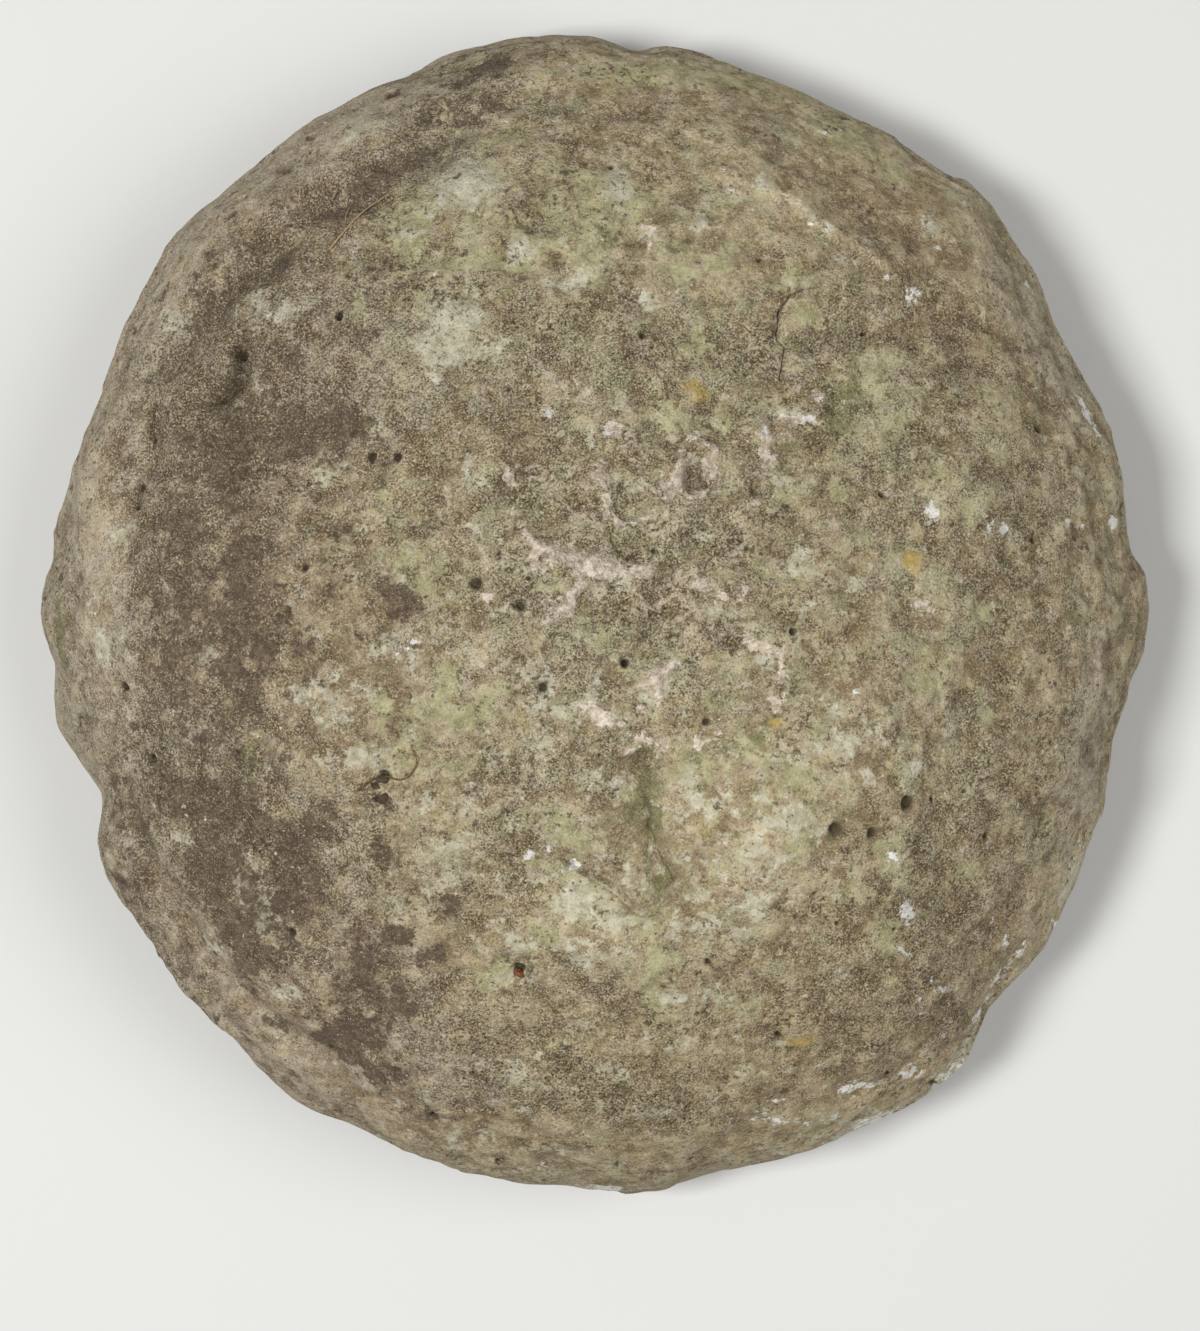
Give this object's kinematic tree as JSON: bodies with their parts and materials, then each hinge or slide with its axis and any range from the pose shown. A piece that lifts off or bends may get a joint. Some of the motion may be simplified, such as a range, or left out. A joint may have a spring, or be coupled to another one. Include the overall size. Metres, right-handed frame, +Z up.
{
  "type": "fossil stromatoporoid",
  "caption": "Fossil stromatoporoid: a low round limestone dome with a worn rim, ledges, ridges and small borings, lying on its flat cut base.",
  "frame": {"origin": "middle of the bottom of the dome's box, on the flat base", "axes": "+Z up, out of the summit; +Y along the longest width; +X to the right seen from above with +Y away"},
  "size_m": [0.287, 0.3, 0.098],
  "materials": {
    "limestone": "rough",
    "plant_debris": "matte"
  },
  "bodies": {
    "root": {"stromatoporoid": "limestone"}
  },
  "joints": []
}
